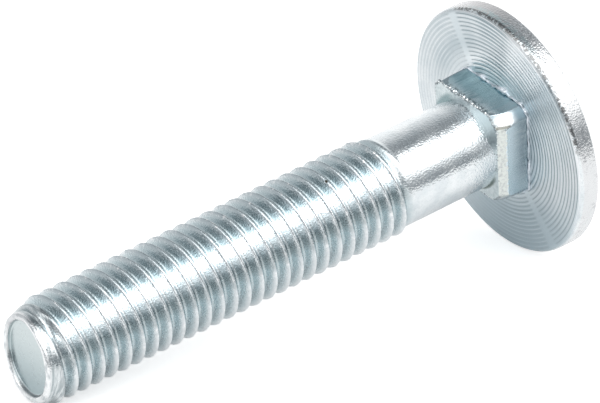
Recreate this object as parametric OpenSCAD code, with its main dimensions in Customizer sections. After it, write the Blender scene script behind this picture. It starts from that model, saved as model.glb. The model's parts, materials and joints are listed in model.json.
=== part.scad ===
// Carriage bolt, forged in one piece: a round head with a low dome, a short square neck that
// stops it turning, a plain shank of the thread's pitch diameter, and a rolled metric thread.
// It lies as it comes to rest, on the lower edge of its head and the start of its thread.
// The origin is the centre of the square neck's root, on the head's flat underside and on the
// thread's axis. +Z is up, and the thread points towards -X and a little down.
// Sizes are in millimetres.

/* [Bolt] */
// Length under the head, to the furthest point of the end
bolt_l = 55; // [40:1:80]
// Length under the head that has no thread
shank_l = 13.4; // [8:0.1:30]
// Diameter of the plain shank, which is the thread's pitch diameter
shank_d = 8.95; // [7:0.05:9.4]
// Major diameter over the thread's crests
thread_d = 9.85; // [9.6:0.05:12]

/* [Head] */
// Diameter over the rim
head_d = 24.9; // [20:0.1:30]
// Height of the whole head, from its underside to the top of the dome
head_k = 5.3; // [4.2:0.1:7]
// Height of the rim, from the underside to the foot of the dome
rim_h = 2; // [1.3:0.05:2.3]
// Radius of the rounding between the rim and the dome
dome_edge_r = 0.25; // [0.1:0.05:0.6]
// Radius of the rounding between the underside and the rim
face_edge_r = 0.6; // [0.2:0.05:1.1]
// Step of the head out of line with the shank, left by the two halves of the forging die
head_step = 0.25; // [0:0.05:0.6]
// Side to which the head steps, about the axis from the top towards +Y
step_turn = -144; // [-180:1:180]

/* [Square neck] */
// Width across the flats of the square
neck_w = 9.9; // [9.3:0.1:11.5]
// Depth of the square, from the head's underside
neck_l = 3.4; // [2.8:0.1:6.2]
// Diameter over the corners of the square
corner_d = 12.8; // [12:0.1:15]
// Diameter over the corners at the neck's open end, where they taper off
corner_end_d = 11.7; // [11:0.1:12]
// Depth of the square over which its corners are full
corner_l = 2; // [0.5:0.1:2.5]
// Length along the neck of the bevel at the end of two opposite flats
bevel_l = 0.9; // [0.3:0.1:1.5]
// Depth of that bevel
bevel_w = 0.35; // [0.1:0.05:0.5]
// Turn of the square about the bolt's own axis as the bolt lies
neck_turn = -6.4; // [-45:0.1:45]

/* [Thread end] */
// Diameter of the crest of the rolled lip round the end
lip_d = 7.8; // [6.5:0.1:8.4]
// Radius of the lip's crest
lip_r = 0.35; // [0.2:0.05:0.45]
// Depth of the flat cup inside the lip
cup_depth = 0.5; // [0.45:0.05:1.5]
// Slope of the end's chamfer, measured from the bolt's axis
point_angle = 27; // [20:1:50]
// Lean of the cropped end from square
end_lean = 8.5; // [0:0.5:10]
// Where the end stands furthest out, about the axis from the top towards +Y
end_turn = -138; // [-180:1:180]

/* [Hidden] */
$fn = 96;
zinc = [0.80, 0.84, 0.86];

// Overlap where two solids of the forging are joined
sink = 1;

// Head
rim_r = head_d / 2;
face_r = rim_r - face_edge_r;
dome_rise = head_k - rim_h;
dome_edge_at = rim_r - dome_edge_r;
dome_r = (dome_rise * dome_rise + dome_edge_at * dome_edge_at - dome_edge_r * dome_edge_r)
         / (2 * (dome_rise - dome_edge_r));
dome_blend_at = dome_edge_at * dome_r / (dome_r - dome_edge_r);

// Thread
thread_r = thread_d / 2;
run_in = thread_r - shank_d / 2;

// End of the thread, in the frame of the leaning end: out from its centre and along its axis
lip_at = lip_d / 2;
end_l = bolt_l - (lip_at + lip_r) * sin(end_lean);
point_start_r = lip_at + lip_r;
point_start_l = -lip_r;
point_r = thread_r + sink;
point_end_l = point_start_l - (point_r - point_start_r) / tan(point_angle);
end_cut_l = thread_d * sin(end_lean) + sink;

// Where the lying bolt touches the ground: the rounded lower edge of the head, and the point
// where its lowest crest line runs into the cone of the end's chamfer. Both are taken in the
// frame of the leaning end, and the quadratic gives that point's place along the bolt.
low_turn = 180 - end_turn;
low_x = thread_r * cos(low_turn);
low_y = thread_r * sin(low_turn);
line_at = low_x * cos(end_lean);
line_slope = sin(end_lean);
cone_at = point_start_r + (point_start_l + low_x * sin(end_lean)) * tan(point_angle);
cone_slope = cos(end_lean) * tan(point_angle);
meet_a = line_slope * line_slope - cone_slope * cone_slope;
meet_b = 2 * (line_at * line_slope + cone_at * cone_slope);
meet_c = line_at * line_at + low_y * low_y - cone_at * cone_at;
touch_l = end_l + (sqrt(meet_b * meet_b - 4 * meet_a * meet_c) - meet_b) / (2 * meet_a);
touch_run = touch_l + face_edge_r;
touch_rise = face_r - head_step * cos(step_turn) - thread_r;
rest_tilt = atan2(touch_rise, touch_run) + asin(face_edge_r / norm([touch_run, touch_rise]));

// Half of the head's section: flat underside, rounded edge, straight rim and low dome
module head_section() {
    translate([0, -rim_h]) square([face_r, rim_h]);
    translate([0, -rim_h]) square([rim_r, rim_h - face_edge_r]);
    translate([face_r, -face_edge_r]) circle(r = face_edge_r);
    translate([dome_edge_at, -rim_h]) circle(r = dome_edge_r);
    intersection() {
        translate([0, dome_r - head_k]) circle(r = dome_r);
        translate([0, -head_k]) square([dome_blend_at, head_k - rim_h / 2]);
    }
}

module head() {
    rotate([0, 0, step_turn]) translate([head_step, 0, 0]) rotate_extrude() head_section();
}

// Section of the neck across two of its flats, with the bevels at its open end
module neck_section() {
    polygon([
        [-neck_w / 2, -sink],
        [neck_w / 2, -sink],
        [neck_w / 2, neck_l - bevel_l],
        [neck_w / 2 - bevel_w, neck_l],
        [bevel_w - neck_w / 2, neck_l],
        [-neck_w / 2, neck_l - bevel_l],
    ]);
}

// Round form that limits the square's corners: full at the head, tapering at the open end
module corner_form() {
    translate([0, 0, -sink]) cylinder(d = corner_d, h = corner_l + sink);
    translate([0, 0, corner_l])
        cylinder(d1 = corner_d, d2 = corner_end_d, h = neck_l - corner_l);
}

module neck() {
    rotate([0, 0, neck_turn])
        intersection() {
            rotate([90, 0, 90])
                translate([0, 0, -neck_w / 2])
                    linear_extrude(height = neck_w) neck_section();
            corner_form();
        }
}

module shank() {
    translate([0, 0, -sink]) cylinder(d = shank_d, h = shank_l + 2 * sink);
}

// Half of the section of what is cut away at the end: inside the lip, and outside its chamfer
module end_cut_section() {
    difference() {
        polygon([
            [0, end_cut_l],
            [0, -cup_depth],
            [lip_at - lip_r, -cup_depth],
            [lip_at - lip_r, -lip_r],
            [lip_at, -lip_r],
            [point_start_r, point_start_l],
            [point_r, point_end_l],
            [point_r, end_cut_l],
        ]);
        translate([lip_at, -lip_r]) circle(r = lip_r);
    }
}

// The thread's outside: a cone where it runs in from the shank, and the leaning cropped end
module thread() {
    difference() {
        union() {
            translate([0, 0, shank_l]) cylinder(d1 = shank_d, d2 = thread_d, h = run_in);
            translate([0, 0, shank_l + run_in])
                cylinder(d = thread_d, h = bolt_l - shank_l - run_in);
        }
        translate([0, 0, end_l])
            rotate([0, 0, end_turn])
                rotate([0, -end_lean, 0])
                    rotate_extrude() end_cut_section();
    }
}

module bolt() {
    color(zinc)
        rotate([0, -90 - rest_tilt, 0])
            union() {
                head();
                neck();
                shank();
                thread();
            }
}

bolt();
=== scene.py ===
# %% [markdown]
# # A carriage bolt
#
# A carriage bolt is one piece of steel wire, headed cold between two dies, then rolled between
# grooved plates for its thread, and dipped in zinc. This lesson gives its looks: the turned rings
# that the die leaves under the head, the square neck with its burrs, the smooth shank, the thread
# and the cropped end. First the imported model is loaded. It says where the bolt lies, and nothing
# here moves or resizes it.

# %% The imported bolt, and the box that it fills
import json
import math

import bmesh
import bpy
import mathutils
import numpy as np
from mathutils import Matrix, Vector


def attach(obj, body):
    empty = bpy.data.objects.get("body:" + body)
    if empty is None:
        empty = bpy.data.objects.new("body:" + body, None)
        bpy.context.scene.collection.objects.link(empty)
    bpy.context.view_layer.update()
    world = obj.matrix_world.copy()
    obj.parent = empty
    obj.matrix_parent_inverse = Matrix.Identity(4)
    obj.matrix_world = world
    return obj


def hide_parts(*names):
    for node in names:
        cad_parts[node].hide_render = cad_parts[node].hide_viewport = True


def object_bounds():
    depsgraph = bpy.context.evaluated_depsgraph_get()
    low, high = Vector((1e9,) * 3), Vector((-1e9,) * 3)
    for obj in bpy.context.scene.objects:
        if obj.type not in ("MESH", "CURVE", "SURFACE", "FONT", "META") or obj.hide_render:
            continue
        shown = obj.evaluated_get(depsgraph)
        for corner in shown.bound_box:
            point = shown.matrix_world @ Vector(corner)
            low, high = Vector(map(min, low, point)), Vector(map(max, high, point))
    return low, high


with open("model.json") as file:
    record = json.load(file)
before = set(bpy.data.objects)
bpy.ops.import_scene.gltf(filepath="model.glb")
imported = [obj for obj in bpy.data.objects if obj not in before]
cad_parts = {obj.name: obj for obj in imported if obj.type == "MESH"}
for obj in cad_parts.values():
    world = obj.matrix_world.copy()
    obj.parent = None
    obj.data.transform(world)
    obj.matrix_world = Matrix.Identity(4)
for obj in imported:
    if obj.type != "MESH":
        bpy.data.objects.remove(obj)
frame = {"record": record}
cad_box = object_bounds()
print("box of the solid bolt, in metres:", cad_box)

# %% [markdown]
# ## The bolt's own directions
#
# The bolt lies on the edge of its head and the start of its thread, so its axis leans. Every
# shape is easier to write along the bolt: `n` is out from the axis towards the top, `y` is out to
# the side, and `u` is along the axis from the head's underside to the thread's end. The record
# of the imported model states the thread's axis, and the two other directions follow from it.

# %% From the bolt's directions to the room's
MM = 0.001
mounts = {m["name"]: m for m in frame["record"]["mounts"]}
TO_TIP = np.array(mounts["thread"]["axis"], dtype=float)
TO_TIP /= np.linalg.norm(TO_TIP)
TO_SIDE = np.array([0.0, 1.0, 0.0])
TO_TOP = np.cross(TO_SIDE, TO_TIP)


def lay(n, y, u):
    """Points in the room, in metres: n along the top direction, plus y along the side, plus u
    along the axis, all given in millimetres from the centre of the head's underside."""
    n, y, u = np.broadcast_arrays(n, y, u)
    return MM * (n[..., None] * TO_TOP + y[..., None] * TO_SIDE + u[..., None] * TO_TIP)


print("the axis leans", round(math.degrees(math.asin(-TO_TIP[2])), 2), "degrees below level")

# %% [markdown]
# ## Sizes
#
# The sizes repeat the part's own, in millimetres. Angles go round the axis, from the top towards
# the side.

# %% Sizes of the bolt
BOLT_L = 55.0
SHANK_L = 13.4
SHANK_R = 8.95 / 2
THREAD_R = 9.85 / 2
RIM_R = 24.9 / 2
HEAD_K = 5.3
RIM_H = 2.0
DOME_EDGE_R = 0.25
FACE_EDGE_R = 0.6
HEAD_STEP = 0.25
STEP_TURN = math.radians(-144)
NECK_H = 9.9 / 2
NECK_L = 3.4
CORNER_R = 12.8 / 2
CORNER_END_R = 11.7 / 2
CORNER_L = 2.0
BEVEL_L = 0.9
BEVEL_W = 0.35
NECK_TURN = math.radians(-6.4)
LIP_AT = 7.8 / 2
LIP_R = 0.35
CUP_DEPTH = 0.5
POINT_ANGLE = math.radians(27)
END_LEAN = math.radians(8.5)
END_TURN = math.radians(-138)
END_L = BOLT_L - (LIP_AT + LIP_R) * math.sin(END_LEAN)
print("the end's centre stands", round(END_L, 2), "mm from the head")

# %% [markdown]
# ## One helper that turns grids of points into a closed skin
#
# Each piece here is a tube: rows that run along it and columns that go round it. The helper joins
# each point to its neighbours as four-sided faces, closes the last column onto the first, and
# merges points that share a place, which closes the poles where a row shrinks to one point, and
# joins grids that meet. A thread's rows climb as they go round, so its last column meets the
# first one some rows further on: `climb` says how many.

# %% Grids to skin
SAME_PLACE = 2e-8


def quads(rows, columns, climb, start):
    """Corner numbers of the faces between row j and j + 1 and column i and i + 1, numbered from
    start. Past the last column, column 0 is taken climb rows further on."""
    j = np.arange(rows - 1 - climb)[:, None]
    i = np.arange(columns)[None, :]
    a = j * columns + i
    b = (j + np.where(i == columns - 1, climb, 0)) * columns + (i + 1) % columns
    return start + np.stack([a, b, b + columns, a + columns], axis=-1).reshape(-1, 4)


def skin(name, *grids):
    """A closed mesh object from grids of points[row, column], each given with its climb."""
    faces, start = [], 0
    for points, climb in grids:
        faces.append(quads(*points.shape[:2], climb, start))
        start += points.shape[0] * points.shape[1]
    places = np.concatenate([points.reshape(-1, 3) for points, _ in grids])
    faces = np.concatenate(faces)
    mesh = bpy.data.meshes.new(name)
    mesh.vertices.add(len(places))
    mesh.vertices.foreach_set("co", places.reshape(-1).astype(np.float32))
    mesh.loops.add(faces.size)
    mesh.loops.foreach_set("vertex_index", faces.reshape(-1).astype(np.int32))
    mesh.polygons.add(len(faces))
    mesh.polygons.foreach_set("loop_start", np.arange(0, faces.size, 4, dtype=np.int32))
    mesh.update(calc_edges=True)
    work = bmesh.new()
    work.from_mesh(mesh)
    bmesh.ops.remove_doubles(work, verts=work.verts, dist=SAME_PLACE)
    bmesh.ops.delete(work, geom=[v for v in work.verts if not v.link_faces], context="VERTS")
    open_edges = sum(len(e.link_faces) != 2 for e in work.edges)
    if work.calc_volume(signed=True) < 0:
        bmesh.ops.reverse_faces(work, faces=work.faces)
    volume = work.calc_volume(signed=True) / MM**3
    work.to_mesh(mesh)
    work.free()
    mesh.shade_smooth()
    piece = bpy.data.objects.new(name, mesh)
    bpy.context.scene.collection.objects.link(piece)
    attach(piece, "root")
    triangles = sum(len(p.vertices) - 2 for p in mesh.polygons)
    print(name, "has", triangles, "triangles,", open_edges, "open edges and", round(volume), "mm3")
    return piece


def pole(turn, u):
    """One row of points that all lie on the axis at u."""
    return lay(0 * turn, 0 * turn, 0 * turn + u)[None]


def ease(x):
    """0 below 0, 1 above 1, and a smooth step between: 3 x squared minus 2 x cubed."""
    x = np.clip(x, 0, 1)
    return x * x * (3 - 2 * x)


def soft(x, width):
    """A soft corner: 0 for negative x and x for positive x, rounded over the width."""
    return width * np.logaddexp(0, x / width)


# %% [markdown]
# ## Waviness
#
# Nothing that is forged, rolled or plated is perfectly true, and on a bright metal the eye sees
# faults of a few thousandths of a millimetre as bent reflections. A short sum of cosines with
# random directions gives a smooth waviness that closes on itself round the axis. Each skin is set
# in by about the height of its waves, so that they stay inside the solid's size.

# %% Smooth random waves
dice = np.random.default_rng(10)


def waves(turn, along, count, most_round, shortest):
    """A sum of count cosines of (a whole number times turn) plus (a wave number times along)
    plus a phase, scaled so that its spread is about 1. The shortest wave is in mm."""
    total = np.zeros(np.broadcast(turn, along).shape)
    for _ in range(count):
        m = dice.integers(-most_round, most_round + 1)
        k = dice.uniform(-1, 1) * 2 * math.pi / shortest
        total += np.cos(m * turn + k * along + dice.uniform(0, 2 * math.pi))
    return total * math.sqrt(2 / count)


def bells(turn, *shapes):
    """A sum of bell curves round the axis, each given as an angle, a width and a height."""
    total = 0 * turn
    for middle, width, high in shapes:
        off = (turn - math.radians(middle) + math.pi) % (2 * math.pi) - math.pi
        total = total + high * np.exp(-((off / math.radians(width)) ** 2))
    return total


# %% [markdown]
# ## The head
#
# The underside is flat, and carries the fine rings of the lathe tool that faced the die, one
# every 0.43 mm. They are modelled as a real ripple, two or three hundredths of a millimetre deep,
# because each ring must catch the light by itself. They are shallower along two radial streaks and
# at two worn places. The die's two halves are a little out of line, so the rings are round the
# shank and the rim is not: the rows slide from one centre to the other.

# %% Rows of the underside
RING_PITCH = 0.427
RING_DEPTH = 0.027
RING_WEAR = [(25, 3, 0.7), (-144, 3, 0.8), (48, 20, 0.75), (178, 20, 0.7)]
FACE_START = 3.8
FACE_ROWS = 170
HEAD_COLUMNS = 360
HEAD_POLE = -1.0
head_turn = np.linspace(0, 2 * math.pi, HEAD_COLUMNS, endpoint=False)
face_r = RIM_R - FACE_EDGE_R
step_n, step_y = HEAD_STEP * math.cos(STEP_TURN), HEAD_STEP * math.sin(STEP_TURN)
ring_depths = RING_DEPTH * dice.uniform(0.55, 1.25, 64)


def rings(n, y):
    """Height of the die's rings: between two of them the tool left a shallow hollow, a parabola
    of the distance from the axis, and each hollow has its own depth."""
    count = np.hypot(n, y) / RING_PITCH
    across = 2 * (count % 1) - 1
    return ring_depths[count.astype(int)] * (across**2 - 1)


share = np.linspace(0, 1, FACE_ROWS)[:, None]
out = FACE_START + share * (face_r - FACE_START)
flat_n = share * step_n + out * np.cos(head_turn)
flat_y = share * step_y + out * np.sin(head_turn)
kept = 1.15 - bells(head_turn, *RING_WEAR)
flat_u = ease((1 - share) / 0.03) * rings(flat_n, flat_y) * kept
face_rows = np.concatenate([pole(head_turn, HEAD_POLE), lay(flat_n, flat_y, flat_u)])

# %% [markdown]
# The rest of the head is a profile turned about its own centre: a rounded edge, a short straight
# rim, a small rounding and the low dome. The rim was squeezed out between the dies, so its waves
# are a little higher than the shank's.

# %% Rows of the rim and the dome
RIM_WAVE, RIM_INSET = 0.004, 0.01


def rim_profile():
    """Radius and height of a row of points from the underside's edge to the dome's pole: a
    quarter circle, the straight rim, a small arc, and the arc of the dome's sphere."""
    rise, edge_at = HEAD_K - RIM_H, RIM_R - DOME_EDGE_R
    dome_r = (rise**2 + edge_at**2 - DOME_EDGE_R**2) / (2 * (rise - DOME_EDGE_R))
    quarter = np.linspace(0, math.pi / 2, 13)[1:]
    straight = np.linspace(-FACE_EDGE_R, -RIM_H, 9)[1:]
    foot = math.asin(edge_at / (dome_r - DOME_EDGE_R))
    small = np.linspace(math.pi / 2, foot, 9)[1:]
    cap = np.linspace(foot, 0, 60)[1:]
    r = [face_r + FACE_EDGE_R * np.sin(quarter), 0 * straight + RIM_R]
    r += [edge_at + DOME_EDGE_R * np.sin(small), dome_r * np.sin(cap)]
    u = [FACE_EDGE_R * (np.cos(quarter) - 1), straight]
    u += [-RIM_H - DOME_EDGE_R * np.cos(small), -HEAD_K + dome_r * (1 - np.cos(cap))]
    return np.concatenate(r)[:, None], np.concatenate(u)[:, None]


rim_out, rim_u = rim_profile()
uneven = RIM_WAVE * waves(head_turn, rim_u, 40, 14, 2.5) - RIM_INSET
rim_out = rim_out + uneven * np.minimum(1, rim_out / 4)
rim_rows = lay(step_n + rim_out * np.cos(head_turn), step_y + rim_out * np.sin(head_turn), rim_u)
bolt_head = skin("bolt_head", (np.concatenate([face_rows, rim_rows]), 0))

# %% [markdown]
# ## The square neck
#
# The neck is a square whose corners are cut round. Going round the axis, the distance to a flat
# is the half width divided by the cosine of the angle from that flat, and the corner circle
# limits it. The corners shrink at the open end, one of them much less than the others. Two of the
# flats end in a bevel, and the lowest one is worn at its open edge.

# %% The neck
NECK_COLUMNS = 480
WALL_ROWS, MOUTH_ROWS = 60, 12
NECK_WAVE, NECK_INSET = 0.004, 0.008
NECK_START = -0.6
MOUTH_R = 4.2
TAPER_L = NECK_L - CORNER_L + 1
WORN_W, WORN_L = 0.4, 0.6
CORNER_KEEPS = 0.8
SHARP_FROM = 28
neck_turn = np.linspace(0, 2 * math.pi, NECK_COLUMNS, endpoint=False)


def neck_out(turn, u):
    """Distance from the axis to the neck's side: the smallest of the corner circle and, for each
    flat, its half width over the cosine of the angle from it."""
    taper = np.clip((u - NECK_L + TAPER_L) / TAPER_L, 0, 1) ** 2
    bevel = BEVEL_W * np.clip((u - NECK_L + BEVEL_L) / BEVEL_L, 0, 1)
    worn = WORN_W * np.clip((u - NECK_L + WORN_L) / WORN_L, 0, 1) ** 2
    full = ease(2 * np.cos(turn - NECK_TURN - math.pi / 4))
    out = CORNER_R + (CORNER_END_R - CORNER_R) * taper * (1 - CORNER_KEEPS * full)
    for side in range(4):
        facing = np.cos(turn - NECK_TURN - side * math.pi / 2)
        half = NECK_H - (bevel if side % 2 else worn * (side == 2))
        out = np.minimum(out, np.where(facing > 0.2, half / np.maximum(facing, 0.2), out))
    return out


neck_u = np.linspace(NECK_START, NECK_L - 0.04, WALL_ROWS)
neck_u = np.append(neck_u, [NECK_L - 0.01, NECK_L])[:, None]
edge = np.append(np.zeros(WALL_ROWS), [0.015, 0.05])[:, None]
wall = neck_out(neck_turn, neck_u) - edge
wall = wall + NECK_WAVE * waves(neck_turn, neck_u, 30, 30, 1.2) - NECK_INSET
mouth = wall[-1] + (MOUTH_R - wall[-1]) * np.linspace(0.03, 1, MOUTH_ROWS)[:, None]
neck_rows_out = np.concatenate([0 * wall[:1], wall, mouth, 0 * wall[:1]])
neck_rows_u = np.concatenate([neck_u[:1], neck_u, np.full((MOUTH_ROWS + 1, 1), NECK_L)])
neck_n, neck_y = neck_rows_out * np.cos(neck_turn), neck_rows_out * np.sin(neck_turn)
bolt_neck = skin("bolt_neck", (lay(neck_n, neck_y, neck_rows_u), 0))
bolt_neck.data.set_sharp_from_angle(angle=math.radians(SHARP_FROM))

# %% [markdown]
# ## The burrs of the neck
#
# Where the punch pressed the square into the head, a thin lumpy bead of metal stands along the
# root of the flats, and where it left the wire it dragged up a ragged edge. Both are tubes that
# follow the neck's outline, and their thickness changes as they go.

# %% A lumpy tube along the neck's outline
BEAD_COLUMNS, BEAD_ROWS = 1400, 13


def bead(name, u, stand, thin, thick, knots, bulge):
    """A torus that follows the neck's outline at u and stands out from it by stand. Its radius
    goes from thin to thick as a sum of waves, its path wanders a little, and bulge gives, from
    the angle, how much further it stands out and how much thicker it is."""
    turn = np.linspace(0, 2 * math.pi, BEAD_COLUMNS, endpoint=False)
    lumps = np.clip(0.35 + 0.5 * waves(turn, 0, 40, knots, 1.0), 0, 1.7)
    more = bulge(turn)
    radius = thin + (thick - thin) * lumps + 0.4 * more
    round_it = np.linspace(0, 2 * math.pi, BEAD_ROWS)[:, None]
    out = neck_out(turn, u) + stand + 0.5 * more + 0.03 * waves(turn, 0, 30, knots, 1.0)
    out = out + radius * np.cos(round_it)
    up = u + 0.02 * waves(turn, 0, 30, knots, 1.0) + radius * np.sin(round_it)
    return skin(name, (lay(out * np.cos(turn), out * np.sin(turn), up), 0))


def root_bulge(turn):
    """The flaps of metal that stand up at the root: two large ones on the top flat, and others
    at the corners and low down."""
    return bells(turn, (-20, 9, 0.46), (11.5, 5, 0.36), (31, 2, 0.1), (-45, 4, 0.12),
                 (-52, 2, 0.1), (-118, 14, 0.12), (150, 9, 0.2))


def edge_bulge(turn):
    """The open edge's burr is thickest along the top flat and almost gone on the other sides."""
    return bells(turn, (-6, 30, 0.26), (36, 5, 0.12), (-95, 45, -0.10), (100, 60, -0.05),
                 (-150, 30, -0.06))


root_burr = bead("root_burr", u=0.03, stand=0.03, thin=0.07, thick=0.12, knots=45,
                 bulge=root_bulge)
edge_burr = bead("edge_burr", u=NECK_L - 0.08, stand=-0.07, thin=0.05, thick=0.13, knots=140,
                 bulge=edge_bulge)

# %% [markdown]
# ## The shank and its thread
#
# One skin runs from inside the neck to the lip of the end. Its rows climb with the thread, one
# pitch per turn, so that a row always lies on a crest, a flank or a root, and the crests stay
# crisp with few faces. Over the plain shank the same rows lie on a cylinder. At both ends the rows
# are held back to a ring, and the points that then share a place are merged.

# %% The thread's groove and the end's chamfer
PITCH = 1.5
CREST_HALF, CREST_SOFT = 0.07, 0.035
ROOT_EDGE, ROOT_SOFT = 0.62, 0.05
CREST_AT = 14.29
CREST_TURN = math.radians(-143.7)
EDGE_R = LIP_AT + LIP_R


def groove(x):
    """Depth of a 60 degree thread at a distance x from the crest's middle: a narrow crest,
    straight flanks and a round root, with each corner softened."""
    x = np.abs(x)
    return math.sqrt(3) * (soft(x - CREST_HALF, CREST_SOFT) - soft(x - ROOT_EDGE, ROOT_SOFT))


def end_place(turn, out, high):
    """A point of the leaning end as n, y and u: out from its centre at an angle round it, and
    high along its own axis, which leans away from the side that stands out furthest."""
    a = turn - END_TURN
    along = out * np.cos(a) * math.cos(END_LEAN) - high * math.sin(END_LEAN)
    across = out * np.sin(a)
    u = END_L + out * np.cos(a) * math.sin(END_LEAN) + high * math.cos(END_LEAN)
    n = along * math.cos(END_TURN) - across * math.sin(END_TURN)
    return n, along * math.sin(END_TURN) + across * math.cos(END_TURN), u


def chamfer(turn, u):
    """Distance from the axis to the end's leaning cone. Its radius grows from the lip's edge with
    the depth below it, so the distance that fits is found in a few rounds."""
    lean_n, lean_u = math.sin(END_LEAN), math.cos(END_LEAN)
    facing, across = np.cos(turn - END_TURN), np.sin(turn - END_TURN)
    w = u - END_L
    r = np.full(np.broadcast(turn, u).shape, EDGE_R)
    for _ in range(8):
        high = w * lean_u - r * facing * lean_n
        cone = EDGE_R - (LIP_R + high) * math.tan(POINT_ANGLE)
        a = (facing * lean_u) ** 2 + across**2
        b = w * lean_n * facing * lean_u
        c = (w * lean_n) ** 2 - cone**2
        r = (np.sqrt(np.maximum(b * b - a * c, 0)) - b) / a
    return r


# %% [markdown]
# The thread runs in over about one pitch from the shank, and it fades out at the chamfer, because
# the rolling plates could not fill it there. `row_at` gives the rows of one turn as parts of the
# pitch from the crest's middle, and `x` is the distance from the nearest crest.

# %% Rows of the shank and the thread
THREAD_COLUMNS = 144
SHANK_WAVE, SHANK_INSET = 0.003, 0.006
RUN_IN_L, FADE_L = 1.5, 1.3
NEAR_END = 45
WORN_HALF, WORN_DEPTH = 0.14, 0.012
thread_turn = np.linspace(-math.pi, math.pi, THREAD_COLUMNS, endpoint=False)
row_at = np.array([-65, -56, -44, -30, -16, -11, -6, 0, 6, 11, 16, 30, 44, 56, 65, 75]) / 100
TURNS = np.arange(-9, 29)
START_U = 2.6
crest_u = CREST_AT + PITCH * (thread_turn - CREST_TURN) / (2 * math.pi)
u = crest_u + (PITCH * TURNS[:, None] + row_at).reshape(-1, 1)
edge_n, edge_y, edge_u = end_place(thread_turn, EDGE_R, -LIP_R)
u = np.clip(u, START_U, edge_u)
x = (u - crest_u + PITCH / 2) % PITCH - PITCH / 2
run_in = ease((u - SHANK_L + 0.35) / RUN_IN_L)
out = SHANK_R + run_in * (THREAD_R - groove(x) - SHANK_R)
limit = chamfer(thread_turn, u)
fade = ease((edge_u - u - 0.1) / FADE_L)
out = np.where(u > NEAR_END, limit - fade * soft(limit - out, 0.03), out)
out = out + SHANK_WAVE * waves(thread_turn, u, 40, 5, 4.0) - SHANK_INSET
worn = np.exp(-((x / WORN_HALF) ** 2)) * run_in * fade
out = out - WORN_DEPTH * worn * (1 + waves(thread_turn, u, 40, 60, 1.2).clip(-1, 2))
n = np.where(u < edge_u, out * np.cos(thread_turn), edge_n)
y = np.where(u < edge_u, out * np.sin(thread_turn), edge_y)
thread_rows = lay(n, y, u)
shank_start = np.concatenate([pole(thread_turn, START_U), thread_rows[:1]])
print("crests from", round(float(crest_u.min()), 2), "mm, one every", PITCH, "mm")

# %% [markdown]
# ## The cropped end
#
# The wire was cropped a little out of square, and rolling pushed its edge up into a round lip
# about a shallow cup. These rows are rings of the leaning end, so they don't climb.

# %% Rows of the lip and the cup
LIP_SWELL, CUP_WAVE = 0.10, 0.012
over = np.linspace(0, math.pi, 19)[:, None]
swell = 1 + LIP_SWELL * waves(thread_turn, over, 20, 14, 6.0) * np.sin(over)
lip_out = LIP_AT + LIP_R * np.cos(over) + 0 * thread_turn
lip_high = -LIP_R + LIP_R * (swell - 0.05) * np.sin(over)
cup_out = np.array([3.55, 3.53, 3.47, 3.35, 3.0, 2.5, 2.0, 1.4, 0.8, 0.3, 0.0])[:, None]
cup_low = CUP_DEPTH * np.array([0.80, 0.88, 0.95, 0.99] + [1.0] * 7)[:, None]
uneven = CUP_WAVE * waves(thread_turn, 3 * cup_out, 12, 4, 2.0) * np.minimum(1, cup_out / 3)
cup_high = uneven + 0.01 - cup_low
end_out = np.concatenate([lip_out, cup_out + 0 * thread_turn])
end_high = np.concatenate([lip_high, cup_high])
end_rows = lay(*end_place(thread_turn, end_out, end_high))
bolt_shank = skin("bolt_shank", (shank_start, 0), (thread_rows, len(row_at)), (end_rows, 0))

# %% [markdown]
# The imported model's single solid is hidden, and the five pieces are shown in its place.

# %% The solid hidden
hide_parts("bolt")
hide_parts("bolt")
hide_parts("bolt")
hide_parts("bolt")
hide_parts("bolt")

# %% [markdown]
# ## Shader maths as Python
#
# A material is a graph of nodes. Written as formulas it is easier to read, so one small class
# wraps a socket: adding or multiplying two of them adds a Math node. Colours go through a Mix
# node, because a Math node would turn them grey. Every other node is made by one method.

# %% A socket that can be added and multiplied
class Wire:
    """One output socket of a node, with the arithmetic that the materials use."""

    def __init__(self, graph, socket):
        self.graph, self.socket = graph, socket

    def math(self, operation, *others):
        """A Math node whose first number is this one."""
        return self.graph.node("ShaderNodeMath", {"operation": operation}, [self, *others])

    def __add__(self, other):
        return self.math("ADD", other)

    __radd__ = __add__

    def __mul__(self, other):
        return self.math("MULTIPLY", other)

    __rmul__ = __mul__

    def __sub__(self, other):
        return self.math("SUBTRACT", other)

    def __rsub__(self, other):
        return self.graph.node("ShaderNodeMath", {"operation": "SUBTRACT"}, [other, self])

    def clip(self):
        """The same number, held between 0 and 1."""
        return self.graph.node("ShaderNodeClamp", {}, [self, 0.0, 1.0])

    def step(self, low, high):
        """0 up to low, 1 from high, and a smooth step between them."""
        kind = {"interpolation_type": "SMOOTHSTEP"}
        return self.graph.node("ShaderNodeMapRange", kind, {0: self, 1: low, 2: high})

    def blend(self, first, second):
        """The first colour where this is 0, the second where it is 1."""
        kind = {"data_type": "RGBA"}
        return self.graph.node("ShaderNodeMix", kind, {0: self, 6: first, 7: second}, 2)


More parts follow.
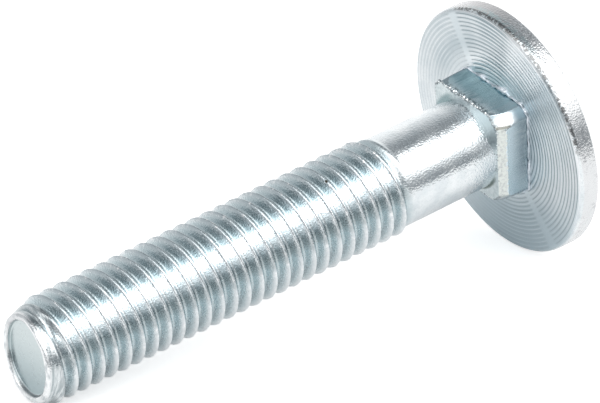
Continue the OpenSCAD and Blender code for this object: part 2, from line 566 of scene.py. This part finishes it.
class Graph:
    """The node tree of a material or of the world."""

    def __init__(self, tree):
        self.tree = tree
        self.tree.nodes.clear()

    def node(self, kind, settings=None, inputs=(), output=0):
        """Adds a node, sets its settings, then gives each input its value or link. The inputs are
        a list in order, or a dict by number or name. Returns one output."""
        made = self.tree.nodes.new(kind)
        for name, value in (settings or {}).items():
            setattr(made, name, value)
        pairs = inputs.items() if isinstance(inputs, dict) else enumerate(inputs)
        for key, value in pairs:
            if isinstance(value, Wire):
                self.tree.links.new(value.socket, made.inputs[key])
            elif isinstance(value, tuple) and made.inputs[key].type == "RGBA":
                made.inputs[key].default_value = (*value[:3], 1.0)
            else:
                made.inputs[key].default_value = value
        return Wire(self, made.outputs[output]) if made.outputs else made

    def noise(self, place, scale, detail=2.0, rough=0.5):
        """Smooth noise from 0 to 1 over a place, with scale lumps per unit of the place."""
        settings = {"noise_dimensions": "3D"}
        sockets = {"Vector": place, "Scale": scale, "Detail": detail, "Roughness": rough}
        return self.node("ShaderNodeTexNoise", settings, sockets)


def new_material(name):
    """A new material and its empty graph."""
    made = bpy.data.materials.new(name)
    made.use_nodes = True
    return made, Graph(made.node_tree)


# %% [markdown]
# ## Zinc
#
# Electroplated zinc is a pale, slightly blue metal. Close up it is a skin of small crystals, so
# its reflections are grainy, and they swim a little over slow lumps. Four noises give that: fine
# grain and a coarser orange peel in the height, and slow blotches and single specks in the colour
# and the roughness. All of them are read in the bolt's own directions, in millimetres, through one
# Mapping node.

# %% The common zinc, and what each part of the bolt adds
GRAIN, PEEL = 0.028, 0.010
ZINC_DARK, ZINC_PALE, ZINC_SPECK = (0.74, 0.79, 0.815), (0.86, 0.895, 0.91), (0.45, 0.49, 0.51)


def bolt_place(graph):
    """Object coordinates turned to the bolt's directions and scaled to millimetres."""
    place = graph.node("ShaderNodeTexCoord", output=3)
    lean = math.pi / 2 + math.asin(-TO_TIP[2])
    sockets = {"Vector": place, "Rotation": (0, lean, 0), "Scale": (1000, 1000, 1000)}
    return graph.node("ShaderNodeMapping", {"vector_type": "POINT"}, sockets)


def parts_of(graph, place):
    """The three numbers of a place: n, y and u."""
    return [graph.node("ShaderNodeSeparateXYZ", {}, [place], k) for k in range(3)]


def zinc(name, fleck, rough, extra):
    """A zinc material. fleck says how much single crystals differ in roughness and colour, and
    rough is the least roughness; extra changes the height, the colour and the roughness from
    the place on the bolt."""
    material, graph = new_material(name)
    place = bolt_place(graph)
    fine = graph.noise(place, 5.5, 1.5, 0.5)
    coarse = graph.noise(place, 1.6, 2.0, 0.5)
    blotch = graph.noise(place, 0.5, 4.0, 0.6)
    speck = graph.noise(place, 5.0, 1.0, 0.5)
    height = fine * GRAIN + coarse * PEEL
    colour = blotch.step(0.35, 0.65).blend(ZINC_DARK, ZINC_PALE)
    colour = ((1 - speck.step(0.36, 0.50)) * 2.5 * fleck).blend(colour, ZINC_SPECK)
    roughness = blotch.step(0.3, 0.7) * 0.06 + speck.step(0.5, 0.62) * fleck + rough
    height, colour, roughness = extra(graph, place, height, colour, roughness)
    bump = {"Strength": 1.0, "Distance": MM, "Height": height}
    normal = graph.node("ShaderNodeBump", {}, bump)
    sockets = {"Base Color": colour, "Metallic": 1.0, "Roughness": roughness, "Normal": normal}
    surface = graph.node("ShaderNodeBsdfPrincipled", {}, sockets)
    graph.node("ShaderNodeOutputMaterial", {}, {"Surface": surface})
    return material


def shape_of(graph, place):
    """n, y and u of a place, and its distance from the axis."""
    n, y, u = parts_of(graph, place)
    return n, y, u, (n * n + y * y).math("SQRT")


def band(value, low, high, soft_edge):
    """1 where a value lies between low and high, 0 elsewhere, over soft edges."""
    return value.step(low - soft_edge, low + soft_edge) * (
        1 - value.step(high - soft_edge, high + soft_edge))


def wedge(shape, middle, width):
    """1 at an angle round the axis, falling smoothly to 0 at a width from it, in degrees. It is
    worked out from the cosine of the angle between them, so it has no seam."""
    n, y, u, out = shape
    middle = math.radians(middle)
    facing = (n * math.cos(middle) + y * math.sin(middle)).math("DIVIDE", out)
    return facing.step(math.cos(math.radians(width)), 1.0)


# %% [markdown]
# The thread is duller and bluer in its grooves, where the rolling plates never rubbed it, and its
# crests are scuffed. Along one side a painted highlight band keeps crests and grooves pale, with a
# painted shade band below it; the crests carry painted shade at the top and a painted highlight at
# the bottom, the bottom of the grooves carries painted shade on the lower side, and a few spots on
# the crests carry painted glints and a small dent painted near black as shade. Each such side is a
# `wedge` of angles round the axis. Round the cropped end the finish changes with the distance
# below the end's own leaning plane: scraped chamfer, bright lip with painted shade on its top, and
# flat pale cup, painted darker towards the bottom, with a painted shade ring at its foot.

# %% Finish of the shank, the thread and the end
PIT = (4.5, -1.9, 20.9)
CREST_GLINTS = [(2.3, -4.15, 19.4), (1.85, -4.35, 19.5), (4.2, -2.35, 20.85)]
PIT_SHADE, GLINT_COLOUR = (0.04, 0.04, 0.03), (1.0, 1.0, 1.0)
SCRAPED_DARK, SCRAPED_PALE = (0.32, 0.37, 0.39), (0.82, 0.85, 0.86)
LIP_DARK, LIP_PALE, LIP_TOP_SHADE = (0.55, 0.59, 0.61), (0.92, 0.94, 0.95), (0.56, 0.58, 0.60)
CUP_FOOT_SHADE, CUP_LOW_SHADE, CUP_ABOVE = (0.30, 0.33, 0.34), (0.41, 0.50, 0.525), (0.60, 0.67, 0.68)
CREST, CREST_SHADE, CREST_HIGHLIGHT = (0.57, 0.63, 0.66), (0.41, 0.48, 0.51), (0.95, 0.97, 0.98)
SCUFF, FLAKE = (0.92, 0.93, 0.94), (0.97, 0.98, 0.98)
GROOVE, GROOVE_DEEP_SHADE, SHADE_BAND = (0.51, 0.605, 0.635), (0.36, 0.43, 0.46), (0.34, 0.38, 0.39)


def spot(graph, place, middle, inside, outside):
    """1 within a distance of a point, falling to 0 at a larger distance."""
    gap = graph.node("ShaderNodeVectorMath", {"operation": "DISTANCE"}, [place, middle], 1)
    return 1 - gap.step(inside, outside)


def end_finish(graph, shape, colour):
    """The colour of the end, how much of the end's finish a place has, and how much it is cup.
    high is the height above the end's leaning plane, below 0 everywhere but on the lip's waves."""
    n, y, u, out = shape
    lean, turn = math.sin(END_LEAN), END_TURN
    high = (u - END_L) * math.cos(END_LEAN) - (n * math.cos(turn) + y * math.sin(turn)) * lean
    scraped = graph.node("ShaderNodeCombineXYZ", {}, [n * 0.45, y * 0.45, high * 4.5 + n * 0.3])
    scraped = graph.noise(scraped, 1.0, 3.0, 0.6).step(0.36, 0.62)
    scraped = scraped.blend(SCRAPED_DARK, SCRAPED_PALE)
    colour = (high.step(-2.4, -1.6) * 0.75).blend(colour, scraped)
    worn = graph.noise(graph.node("ShaderNodeCombineXYZ", {}, [n * 0.8, y * 0.8, high * 4]), 1.0)
    lip_colour = worn.step(0.3, 0.55).blend(LIP_DARK, LIP_PALE)
    # Painted shade: the top of the lip is greyer.
    upper = n.step(0.5, 2.5) * y.step(-2.0, 1.0)
    lip_colour = (upper * 0.6).blend(lip_colour, LIP_TOP_SHADE)
    colour = high.step(-0.5, -0.3).blend(colour, lip_colour)
    inside = high.step(-0.9, -0.6)
    # Painted shade: a dark ring at the foot of the cup, strongest towards the bottom.
    foot = band(out, 3.5, 3.62, 0.04) * inside * (1 - n.step(-2.0, 1.5) * 0.8)
    colour = (foot * 0.8).blend(colour, CUP_FOOT_SHADE)
    cup = (1 - out.step(3.46, 3.54)) * inside
    # Painted shade: the cup is darker towards the bottom.
    cup_colour = n.step(-3.4, 2.6).blend(CUP_LOW_SHADE, CUP_ABOVE)
    return cup.blend(colour, cup_colour), high.step(-2.2, -1.6), cup


def thread_finish(graph, place, height, colour, roughness):
    """Duller and bluer with depth below the crests, scuffed on them, and painted with highlight,
    shade and glints by angle and place.
    """
    shape = n, y, u, out = shape_of(graph, place)
    on_thread = u.step(13.0, 14.0)
    low = 1 - out.step(4.35, 4.85)
    crest = (1 - low) * on_thread
    scuff = graph.noise(place, 2.0, 3.0, 0.6)
    # Painted highlight: in a band of angles round the axis the crests and grooves keep the pale
    # zinc colour.
    off_highlight_band = 1 - wedge(shape, -52, 23) * 0.8
    rubbed = 0.9 - scuff.step(0.42, 0.58) * 0.5
    colour = (crest * off_highlight_band * rubbed).blend(colour, CREST)
    colour = (crest * wedge(shape, -8, 28) * 0.6).blend(colour, CREST_SHADE)
    colour = (crest * scuff.step(0.60, 0.66)).blend(colour, SCUFF)
    first_turns = on_thread * (1 - u.step(15.0, 18.0))
    flake = graph.noise(place, 3.2, 2.0, 0.6).step(0.56, 0.62)
    colour = (flake * first_turns).blend(colour, FLAKE)
    # Painted highlight on the crests along the lower side.
    colour = (crest * wedge(shape, -122, 42) * 0.6).blend(colour, CREST_HIGHLIGHT)
    dull_and_shade = low * on_thread * off_highlight_band
    colour = (dull_and_shade * 0.9).blend(colour, GROOVE)
    # Painted shade in the bottom of the grooves along the lower side.
    deep = (1 - out.step(4.15, 4.5)) * wedge(shape, -142, 42)
    colour = (dull_and_shade * deep * 0.9).blend(colour, GROOVE_DEEP_SHADE)
    # Painted shade: a grey band of angles along the thread.
    colour = (on_thread * wedge(shape, -79, 12) * 0.5).blend(colour, SHADE_BAND)
    colour, at_end, cup = end_finish(graph, shape, colour)
    # Painted glints: white spots on the crests.
    for middle in CREST_GLINTS:
        colour = spot(graph, place, middle, 0.08, 0.18).blend(colour, GLINT_COLOUR)
    # A small dent, painted near black as shade.
    pit = spot(graph, place, PIT, 0.10, 0.22)
    colour = pit.blend(colour, PIT_SHADE)
    rolled = graph.node("ShaderNodeCombineXYZ", {}, [n * 0.35, y * 0.35, u * 5])
    streaks = graph.noise(rolled, 1.0, 2.0) * on_thread
    height = (height + streaks * 0.015) * (1 - cup * 0.75) - pit * 0.06
    roughness = roughness + dull_and_shade * (1 - at_end) * 0.09 + on_thread * 0.03 + at_end * 0.05
    return height, colour, roughness


# %% [markdown]
# The rings are repeated as colour: painted shade in the hollows and painted highlights on the
# ridges between them. How strong either is changes from ring to ring and round the face. Wedges of
# angles round the face add painted dark and light sectors and two narrow painted light streaks, and
# the face is painted darker and bluer towards the bottom. The rim is paler, with painted shade at
# its top and a mottled blue band along its edge there that is partly painted shade, and a torn,
# grainy line marks where it was squeezed out past the die's edge. The dome has faint turned marks.

# %% Finish of the head
SECTOR_SHADE, SECTOR_HIGHLIGHT, LOW_SIDE_SHADE = (0.38, 0.46, 0.50), (0.94, 0.98, 1.0), (0.50, 0.59, 0.64)
HOLLOW_SHADE, RIDGE_HIGHLIGHT, STREAK_HIGHLIGHT = (0.17, 0.23, 0.26), (0.97, 0.98, 1.0), (0.80, 0.88, 0.92)
RIM_PALE, RIM_TOP_SHADE, RIM_BLUE_SHADE = (0.76, 0.77, 0.78), (0.52, 0.52, 0.53), (0.44, 0.55, 0.57)
STAIN, TORN_LINE = (0.40, 0.41, 0.43), (0.21, 0.21, 0.21)
SWIRL_DARK, SWIRL_PALE = (0.60, 0.645, 0.67), (0.72, 0.76, 0.785)


def face_finish(graph, place, shape, face, colour):
    """The underside, painted with sectors of shade and highlight, shade in the hollows, highlights
    on the ridges and shade towards the bottom. ridge is 1 on a ring's ridge and 0 in the middle of
    a hollow, own is a number for each ring, and region changes slowly over the face."""
    n, y, u, out = shape
    count = out * (1 / RING_PITCH)
    ridge = (count.math("FRACT") * 2 - 1).math("ABSOLUTE")
    own = graph.noise(graph.node("ShaderNodeCombineXYZ", {}, [count * 1.3, 0.0, 0.0]), 1.0)
    region = graph.noise(place, 0.16, 1.0).step(0.35, 0.65)
    near, far = 1 - out.step(6.5, 9.0), out.step(8.5, 10.5)
    # Painted shade and painted highlight: dark and light sectors of angles round the face.
    dark = wedge(shape, -52, 15) * 0.5 + wedge(shape, -172, 58)
    dark = dark + wedge(shape, 34, 62) * (0.75 - far * 0.25)
    dark = dark * (1 - near * 0.6) + far * wedge(shape, -8, 17) * 0.5
    light = wedge(shape, -31, 17) + wedge(shape, -90, 32) * 0.3 + near * wedge(shape, 2, 32) * 0.7
    colour = (dark * face).blend(colour, SECTOR_SHADE)
    colour = (light * face).clip().blend(colour, SECTOR_HIGHLIGHT)
    # Painted highlight: two narrow light streaks across the rings.
    streak = (wedge(shape, 25, 4.5) + wedge(shape, -144, 4.5)) * face
    # Painted shade in the ring hollows, stronger in some sectors of angles.
    crisp = wedge(shape, 4, 30) + wedge(shape, -102, 56) + wedge(shape, -162, 30) * (1 - far)
    crisp = (crisp + 0.25).clip() * (1 - streak)
    dull_and_shade = (1 - ridge.step(0.05, 0.4)) * own.step(0.2, 0.5) * face * crisp
    colour = (dull_and_shade * 0.85).blend(colour, HOLLOW_SHADE)
    # Painted highlights on the ring ridges, stronger in some sectors of angles.
    open_side = wedge(shape, -22, 42) + wedge(shape, -95, 45) * 0.7
    ridge_highlight = ((1 - region) * 0.5 + open_side).clip() * (1 - streak)
    ridge_highlight = ridge.step(0.72, 0.95) * (1 - own.step(0.5, 0.8)) * ridge_highlight
    colour = (ridge_highlight * face).blend(colour, RIDGE_HIGHLIGHT)
    colour = (streak * 0.25).blend(colour, STREAK_HIGHLIGHT)
    # Painted shade: the face is darker and bluer towards the bottom.
    low = (1 - n.step(-9.0, 3.0)) * face
    return (low * 0.5).blend(colour, LOW_SIDE_SHADE)


def rim_finish(graph, place, shape, rim, colour):
    """The rim: painted shade at the top and a mottled blue band along its edge there that is partly
    painted shade, stained, and torn along the edge.
    """
    u = shape[2]
    colour = (rim * 0.85).blend(colour, RIM_PALE)
    mottle = graph.noise(place, 2.8, 2.0, 0.6)
    # Painted shade: the top of the rim is greyer.
    colour = (rim * wedge(shape, 4, 22)).blend(colour, RIM_TOP_SHADE)
    # A mottled blue band along the top of the rim's edge, partly painted shade.
    blue = band(u, -1.1, -0.4, 0.2) * wedge(shape, -10, 32) * mottle.step(0.35, 0.5)
    colour = (blue * 0.7).blend(colour, RIM_BLUE_SHADE)
    stain = graph.noise(place, 0.35, 1.0).step(0.45, 0.6)
    colour = (rim * (1 - mottle.step(0.38, 0.5)) * stain * 0.4).blend(colour, STAIN)
    torn = band(u, -0.5, -0.16, 0.08) * wedge(shape, -28, 60).step(0.0, 0.3)
    return (torn * (1 - mottle.step(0.46, 0.6)) * 0.9).blend(colour, TORN_LINE)


def head_finish(graph, place, height, colour, roughness):
    """Rings and wedges on the underside, the pale rim with its torn line, and the turned dome."""
    shape = n, y, u, out = shape_of(graph, place)
    face = u.step(-0.3, -0.1)
    rim = (1 - u.step(-0.6, -0.35)) * u.step(-2.3, -2.0)
    dome = 1 - u.step(-2.5, -2.2)
    colour = face_finish(graph, place, shape, face, colour)
    swirl = graph.node("ShaderNodeCombineXYZ", {}, [out * 3.0, n * 0.12, y * 0.12])
    swirl = graph.noise(swirl, 1.0, 3.0, 0.6).step(0.3, 0.7)
    colour = rim_finish(graph, place, shape, rim, colour)
    colour = (dome * 0.85).blend(colour, swirl.blend(SWIRL_DARK, SWIRL_PALE))
    height = height * (1 + rim * 0.4) + swirl * dome * 0.012
    return height, colour, roughness + face * 0.17 + rim * 0.03 + dome * 0.06


# %% [markdown]
# The neck keeps the fine lines of the punch along its flats. Painted shade makes the flats bluer
# and darker towards the root, and painted light and shade change them across each flat. Its rounded
# corners carry a painted highlight near the open end, with painted shade towards the root and off
# their middle line, and a painted shadow line runs beside the top corners; the bevels are dull and
# mottled, and the burrs are torn metal, bright where they are rubbed and dark in their folds.
# Painted shade darkens the open face where it meets the shank. Here `rise` and `across` are the
# distances from the axis towards the top flat and towards the side flat.

# %% Finish of the neck and its burrs
BURR_DARK, BURR_PALE = (0.27, 0.31, 0.33), (0.74, 0.78, 0.79)
BEAD_DARK, BEAD_PALE = (0.50, 0.57, 0.62), (0.80, 0.84, 0.89)
TOP_ROOT_SHADE, TOP_OPEN, TOP_MIDDLE_LIGHT = (0.42, 0.61, 0.66), (0.80, 0.88, 0.91), (0.66, 0.86, 0.90)
TOP_DEEP_SHADE, TOP_FAR_LIGHT, TOP_LINE = (0.34, 0.44, 0.49), (0.72, 0.76, 0.80), (0.32, 0.47, 0.52)
STRIP_DARK, STRIP_PALE = (0.20, 0.24, 0.25), (0.90, 0.95, 0.93)
SIDE_OPEN, SIDE_ROOT_SHADE = (0.70, 0.81, 0.86), (0.27, 0.34, 0.38)
CORNER_ROOT_SHADE, CORNER_HIGHLIGHT = (0.36, 0.47, 0.53), (0.96, 0.98, 0.99)
CORNER_TIP, CORNER_SIDE_SHADE = (0.30, 0.34, 0.35), (0.34, 0.42, 0.46)
BEVEL_DARK, BEVEL_PALE, CORNER_SHADOW_LINE = (0.55, 0.58, 0.58), (0.75, 0.79, 0.76), (0.27, 0.27, 0.24)
MOUTH_DARK, MOUTH_PALE, MOUTH_SHADE = (0.54, 0.62, 0.64), (0.68, 0.75, 0.77), (0.36, 0.43, 0.45)
NOOK_SIDE_SHADE, NOOK_BELOW_SHADE = (0.22, 0.32, 0.34), (0.13, 0.17, 0.15)


def burr_finish(graph, place, height, colour, roughness):
    """Torn metal on the open edge; the bead at the root is smoother and only a little mottled."""
    u = parts_of(graph, place)[2]
    torn = graph.noise(place, 2.0, 3.0, 0.6).step(0.46, 0.58).blend(BURR_DARK, BURR_PALE)
    smooth = graph.noise(place, 1.5, 2.0, 0.6).step(0.35, 0.6).blend(BEAD_DARK, BEAD_PALE)
    edge = u.step(1.0, 2.0)
    return height * 0.5, edge.blend(smooth, torn), roughness + (1 - edge) * 0.2


def top_colour(u, across, lines, speck):
    """The top and bottom flats: painted shade that makes them bluer at the root and darkest on one
    side of it, painted light across them, lined, with a strip of dark and light specks along the
    open edge."""
    # Painted shade towards the root, and painted light across the flat.
    colour = u.step(1.6, 3.1).blend(TOP_ROOT_SHADE, TOP_OPEN)
    colour = (across.step(-0.5, 3.5) * 0.35).blend(colour, TOP_MIDDLE_LIGHT)
    deep = (1 - across.step(-4.5, 0.5)) * (1 - u.step(2.0, 2.8))
    colour = deep.blend(colour, TOP_DEEP_SHADE)
    colour = (across.step(3.4, 4.8) * 0.7).blend(colour, TOP_FAR_LIGHT)
    colour = ((1 - lines.step(0.35, 0.55)) * 0.7).blend(colour, TOP_LINE)
    strip = u.step(NECK_L - 0.75, NECK_L - 0.35)
    colour = (strip * (1 - speck.step(0.42, 0.5)) * 0.9).blend(colour, STRIP_DARK)
    return (strip * speck.step(0.54, 0.6)).blend(colour, STRIP_PALE)


def corner_colour(u, askew, speck):
    """The corners: a painted highlight in the middle of their open half, with painted shade towards
    the root and off the middle line. askew is how far a place is from the corner's middle line."""
    colour = u.step(0.7, 1.9).blend(CORNER_ROOT_SHADE, CORNER_HIGHLIGHT)
    tip = u.step(2.85, 3.2) * (1 - speck.step(0.5, 0.62) * 0.6)
    colour = (tip * 0.9).blend(colour, CORNER_TIP)
    return (askew.step(0.4, 1.1) * 0.85).blend(colour, CORNER_SIDE_SHADE)


def mouth_colour(shape, mottle):
    """The open face: mottled, with a shaded wedge and painted shade in the nooks against the shank.
    """
    n, y, u, out = shape
    colour = mottle.step(0.3, 0.65).blend(MOUTH_DARK, MOUTH_PALE)
    colour = (wedge(shape, -48, 40) * 0.8).blend(colour, MOUTH_SHADE)
    # Painted shade where the open face meets the shank.
    nook = (1 - out.step(4.75, 5.3)) * y.step(0.5, 2.5) * 0.9
    colour = nook.blend(colour, NOOK_SIDE_SHADE)
    nook = (1 - out.step(4.52, 4.78)) * wedge(shape, -142, 30) * 0.9
    return nook.blend(colour, NOOK_BELOW_SHADE)


def neck_finish(graph, place, height, colour, roughness):
    """Colours of its own on each pair of flats, on the corners, the bevels and the open face; on
    all but the bevels they are partly painted light and shade.
    """
    shape = n, y, u, out = shape_of(graph, place)
    cosine, sine = math.cos(NECK_TURN), math.sin(NECK_TURN)
    rise, across = n * cosine + y * sine, y * cosine - n * sine
    rise_size, across_size = rise.math("ABSOLUTE"), across.math("ABSOLUTE")
    lines = graph.node("ShaderNodeCombineXYZ", {}, [n * 3.0, y * 3.0, u * 0.5])
    lines = graph.noise(lines, 1.0, 2.0, 0.6)
    speck = graph.noise(place, 3.6, 2.0, 0.6)
    mottle = graph.noise(place, 3.4, 3.0, 0.6)
    on_top = rise_size.step(NECK_H - 0.12, NECK_H - 0.05)
    colour = on_top.blend(colour, top_colour(u, across, lines, speck))
    on_side = across_size.step(NECK_H - 0.12, NECK_H - 0.05)
    # Painted shade: the side flats darken towards the root, more on their upper half.
    root = (1 - u.step(0.5, 2.5)) * (rise.step(-3.8, -0.5) * 0.5 + 0.5)
    lined = on_side * (lines.step(0.3, 0.6) * 0.15 + 0.85)
    colour = lined.blend(colour, root.blend(SIDE_OPEN, SIDE_ROOT_SHADE))
    corner_r = CORNER_R - u.step(CORNER_L, NECK_L) * (CORNER_R - CORNER_END_R)
    corner = (out - corner_r).step(-0.14, -0.06)
    askew = (rise_size - across_size).math("ABSOLUTE")
    colour = corner.blend(colour, corner_colour(u, askew, speck))
    ragged = (mottle - 0.5) * 1.2 + u - (NECK_L - BEVEL_L)
    bevel = across_size.step(4.5, 4.58) * (1 - rise_size.step(3.9, 4.1)) * ragged.step(-0.08, 0.08)
    colour = bevel.blend(colour, mottle.step(0.30, 0.60).blend(BEVEL_DARK, BEVEL_PALE))
    # Painted shadow: a dark line on the side flats beside the top corners.
    shadow_line = band(rise, 3.84, 4.08, 0.06) * u.step(1.7, 2.2) * across_size.step(4.2, 4.4)
    colour = (shadow_line * 0.85).blend(colour, CORNER_SHADOW_LINE)
    mouth = u.step(NECK_L - 0.04, NECK_L - 0.01)
    colour = mouth.blend(colour, mouth_colour(shape, mottle))
    flat = 1 - (on_top + on_side + corner).clip() * 0.6
    roughness = roughness + 0.05 + (bevel + mouth + corner) * 0.1
    return height * flat + lines * 0.01 * on_top, colour, roughness


bolt_head.data.materials.append(zinc("zinc_head", fleck=0.08, rough=0.11, extra=head_finish))
bolt_neck.data.materials.append(zinc("zinc_neck", fleck=0.04, rough=0.11, extra=neck_finish))
burr_zinc = zinc("zinc_burr", fleck=0.14, rough=0.2, extra=burr_finish)
root_burr.data.materials.append(burr_zinc)
edge_burr.data.materials.append(burr_zinc)
shank_zinc = zinc("zinc_shank", fleck=0.055, rough=0.10, extra=thread_finish)
bolt_shank.data.materials.append(shank_zinc)
for piece in (bolt_head, bolt_neck, root_burr, edge_burr, bolt_shank):
    print(piece.name, "is finished with", piece.data.materials[0].name)

# %% [markdown]
# ## The floor and the light
#
# The floor is a pale sheet just under the bolt. It shows white to the camera and in the metal,
# through Is Camera Ray and Is Glossy Ray, and it keeps the bolt's shadow, because only a part of
# its brightness is added light.

# %% Floor
FLOOR_Z = cad_box[0][2]
FLOOR_GAP = 2e-5
FLOOR_R = 0.13
FLOOR_CORNERS = 96
MIDDLE_U = 25
TO_CAMERA, IN_METAL = 0.5, 0.1
floor_mesh = bpy.data.meshes.new("floor")
floor_turn = np.linspace(0, 2 * math.pi, FLOOR_CORNERS, endpoint=False)
floor_edge = np.stack([np.cos(floor_turn), np.sin(floor_turn), 0 * floor_turn], axis=-1) * FLOOR_R
floor_edge += lay(0, 0, MIDDLE_U) * (1, 1, 0) + np.array([0, 0, FLOOR_Z - FLOOR_GAP])
floor_mesh.from_pydata(floor_edge.tolist(), [], [list(range(FLOOR_CORNERS))])
floor = bpy.data.objects.new("floor", floor_mesh)
bpy.context.scene.collection.objects.link(floor)
material, graph = new_material("floor_paper")
eye = graph.node("ShaderNodeLightPath", output=0)
glossy = graph.node("ShaderNodeLightPath", output=3)
seen = eye * TO_CAMERA + glossy * IN_METAL
plain = graph.node("ShaderNodeBsdfDiffuse", {}, {"Color": (0.9, 0.9, 0.9)})
glow = graph.node("ShaderNodeEmission", {}, {"Color": (1, 1, 1), "Strength": seen})
both = graph.node("ShaderNodeAddShader", {}, [plain, glow])
graph.node("ShaderNodeOutputMaterial", {}, {"Surface": both})
floor_mesh.materials.append(material)
print("the floor lies at", round(FLOOR_Z / MM, 2), "mm")

# %% [markdown]
# The room is a white tent with one big soft lamp. The metal shows the tent, so the tent has a
# shape: on the far side it is white at the floor and falls away to grey overhead, and on the near
# side a dark gap separates the floor from the lamp. The shaded places are a little blue. Only rays
# that leave the metal see it; all other rays see plain white. `x`, `y` and `z` are the direction
# of a ray, and `height` is 0 just above the floor and 1 overhead.

# %% The tent round the bolt
FAR_LEVEL, FAR_FALL, FAR_END = 1.15, 0.82, 0.65
NEAR_GAP, NEAR_RISE = 0.36, 1.75
PLAIN = 0.95
SHADE_TINT = (0.84, 0.93, 1.0)
world = bpy.data.worlds.new("tent")
bpy.context.scene.world = world
world.use_nodes = True
graph = Graph(world.node_tree)
direction = graph.node("ShaderNodeTexCoord", output=0)
x, y, z = [graph.node("ShaderNodeSeparateXYZ", {}, [direction], k) for k in range(3)]
height = (z * 1.25 - 0.125).clip()
far_wall = FAR_LEVEL - height * height * FAR_FALL
far_wall = far_wall * (FAR_END + x.step(0.0, 0.45) * (1 - FAR_END))
near_wall = NEAR_GAP + z.step(0.08, 0.8) * NEAR_RISE
side = (y + x * 0.6).step(-0.35, 0.3)
level = near_wall + side * (far_wall - near_wall)
glossy = graph.node("ShaderNodeLightPath", output=3)
eye = graph.node("ShaderNodeLightPath", output=0)
strength = (1 - glossy) * PLAIN + eye * (1 - PLAIN) + glossy * level
tint = (glossy * (1 - level.clip())).blend((1, 1, 1), SHADE_TINT)
light = graph.node("ShaderNodeBackground", {}, {"Color": tint, "Strength": strength})
graph.node("ShaderNodeOutputWorld", {}, {"Surface": light})


def soft_lamp(name, azimuth, elevation, distance, size, brightness):
    """A square lamp that faces the bolt from an azimuth and an elevation, in degrees. Its watts
    are brightness times pi times its area, so that it looks as bright as a white of that level."""
    azimuth, elevation = math.radians(azimuth), math.radians(elevation)
    away = [math.cos(azimuth) * math.cos(elevation), math.sin(azimuth) * math.cos(elevation)]
    away = np.array([*away, math.sin(elevation)])
    lamp = bpy.data.lights.new(name, "AREA")
    lamp.shape, lamp.size = "SQUARE", size
    lamp.energy = brightness * math.pi * size * size
    made = bpy.data.objects.new(name, lamp)
    bpy.context.scene.collection.objects.link(made)
    made.location = lay(0, 0, MIDDLE_U) + away * distance
    quaternion = mathutils.Vector(away).to_track_quat("Z", "Y")
    made.rotation_euler = quaternion.to_euler()
    made.visible_camera = False
    return made


soft_box = soft_lamp("soft_box", azimuth=-75, elevation=58, distance=1.0, size=0.6, brightness=2.0)
print("the lamp has", round(soft_box.data.energy, 2), "watts")

# %% [markdown]
# ## The camera
#
# The camera looks down along the bolt's side from the end of the thread, from about two thirds of
# a metre with a long lens. Its place, the way it looks and the way that is right in its picture are
# given in the bolt's own directions, n, y and u.

# %% Camera
CAMERA_AT = (325.59, -451.0, 318.32)
LOOKS_ALONG = (-514.15, 717.39, -470.11)
RIGHTWARD = (-109.26, -598.42, -793.70)
LENS, SENSOR = 409.4, 36.0
camera = bpy.data.cameras.new("camera")
camera.lens, camera.sensor_width = LENS, SENSOR
camera.clip_start, camera.clip_end = 0.05, 50.0
view = bpy.data.objects.new("camera", camera)
bpy.context.scene.collection.objects.link(view)
rightward, forward = lay(*RIGHTWARD), lay(*LOOKS_ALONG)
rightward /= np.linalg.norm(rightward)
forward -= rightward * (forward @ rightward)
forward /= np.linalg.norm(forward)
upward = np.cross(rightward, forward)
turned = mathutils.Matrix(np.column_stack([rightward, upward, -forward]).tolist())
view.matrix_world = mathutils.Matrix.Translation(lay(*CAMERA_AT)) @ turned.to_4x4()
bpy.context.scene.camera = view
bpy.context.scene.view_settings.view_transform = "Standard"
away = np.linalg.norm(lay(*CAMERA_AT) - lay(0, 0, MIDDLE_U))
print("the camera stands", round(float(away) / MM), "mm from the bolt's middle")
